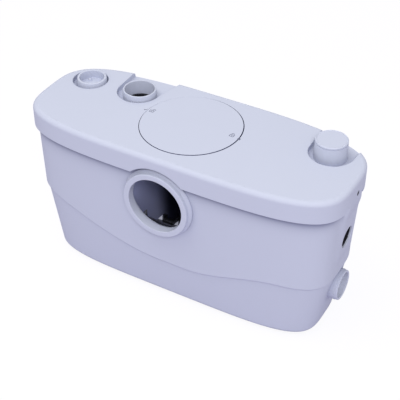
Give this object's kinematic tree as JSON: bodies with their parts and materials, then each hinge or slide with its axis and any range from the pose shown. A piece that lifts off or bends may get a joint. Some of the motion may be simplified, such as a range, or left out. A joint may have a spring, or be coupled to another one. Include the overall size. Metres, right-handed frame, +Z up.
{
  "type": "macerator toilet pump",
  "caption": "Floor-standing macerator pump for a toilet: a lidded tank with a pan inlet, discharge and waste sockets, and a motor that turns a grinder and a pump inside.",
  "frame": {"origin": "centre of the bounding box at floor level, under the feet", "axes": "+X along the length towards the side inlets, -Y is the way the pan inlet faces, +Z up"},
  "size_m": [0.495, 0.196, 0.2795],
  "materials": {
    "shell": "satin pale lavender-white moulded plastic",
    "seal_rubber": "matt black rubber",
    "steel": "brushed stainless steel",
    "core_iron": "laminated core iron",
    "copper": "enamelled copper",
    "inner_grey": "satin grey moulded plastic",
    "inner_black": "satin black moulded plastic",
    "filter_carbon": "open carbon foam"
  },
  "bodies": {
    "base": {"tank": "shell", "side_panel": "shell", "lid": "shell", "lid_skirt": "shell", "lid_sockets": "shell", "lid_gasket": "seal_rubber", "lid_screws": "steel", "cap_seal": "seal_rubber", "feet": "seal_rubber", "inlet_hopper": "inner_grey", "grinder_basket": "inner_grey", "fixed_knives": "steel", "shaft_bush": "inner_black", "stator_core": "core_iron", "stator_windings": "copper", "motor_housing": "steel", "motor_end_cap": "steel", "front_bearing": "steel", "rear_bearing": "steel", "shaft_seal": "seal_rubber", "motor_cradle": "seal_rubber", "motor_screws": "steel", "pump_volute": "inner_black", "pump_cover": "inner_black", "pump_screws": "steel", "pump_coupling": "seal_rubber", "coupling_clips": "steel", "check_valve_body": "inner_black", "check_pin": "steel", "discharge_riser": "inner_black", "pressure_bell": "inner_grey", "switch_housing": "inner_black", "switch_diaphragm": "seal_rubber", "switch_cover": "inner_black", "microswitch": "inner_black", "lever_pin": "steel", "control_box": "inner_black", "control_lid": "inner_black", "control_screws": "steel", "capacitor": "inner_grey", "terminal_block": "inner_grey", "cable_gland": "seal_rubber", "gland_nut": "seal_rubber", "low_flap_pin": "steel", "high_flap_pin": "steel", "carbon_filter": "filter_carbon", "filter_holder": "shell"},
    "rotor": {"motor_shaft": "steel", "rotor_core": "core_iron", "cutter_hub": "steel", "cutter_blades": "steel", "impeller": "inner_grey"},
    "cover": {"inspection_cover": "shell", "cover_seal": "seal_rubber"},
    "cap": {"outlet_cap": "shell"},
    "low_flap": {"low_flap": "seal_rubber"},
    "high_flap": {"high_flap": "seal_rubber"},
    "check_flap": {"check_flap": "seal_rubber"},
    "plunger": {"switch_plunger": "inner_grey"},
    "lever": {"switch_lever": "steel"}
  },
  "joints": [
    {"name": "rotor_spin", "type": "hinge", "parent": "base", "child": "rotor", "pos_m": [0, 0, 0.07], "axis": [1, 0, 0], "continuous": true},
    {"name": "cover_turn", "type": "hinge", "parent": "base", "child": "cover", "pos_m": [-0.008, 0.0045, 0.258], "axis": [0, 0, 1], "range_deg": [0, 40]},
    {"name": "cap_pull", "type": "slide", "parent": "base", "child": "cap", "axis": [0, 0, 1], "range_m": [0, 0.03]},
    {"name": "low_flap_swing", "type": "hinge", "parent": "base", "child": "low_flap", "pos_m": [0.2037, -0.003, 0.0996], "axis": [0, 1, 0], "range_deg": [0, 50]},
    {"name": "high_flap_swing", "type": "hinge", "parent": "base", "child": "high_flap", "pos_m": [0.2107, -0.003, 0.1846], "axis": [0, 1, 0], "range_deg": [0, 60]},
    {"name": "check_flap_swing", "type": "hinge", "parent": "base", "child": "check_flap", "pos_m": [-0.133, 0.04, 0.1595], "axis": [0, -1, 0], "range_deg": [0, 60]},
    {"name": "plunger_rise", "type": "slide", "parent": "base", "child": "plunger", "axis": [0, 0, 1], "range_m": [0, 0.0024], "stiffness_N_per_m": 300},
    {"name": "lever_lift", "type": "hinge", "parent": "base", "child": "lever", "pos_m": [-0.138, -0.025, 0.2344], "axis": [0, 1, 0], "range_deg": [0, 4.1]}
  ],
  "couplings": [
    {"joint": "lever_lift", "follows": "plunger_rise", "rad_per_m": 29.412}
  ]
}
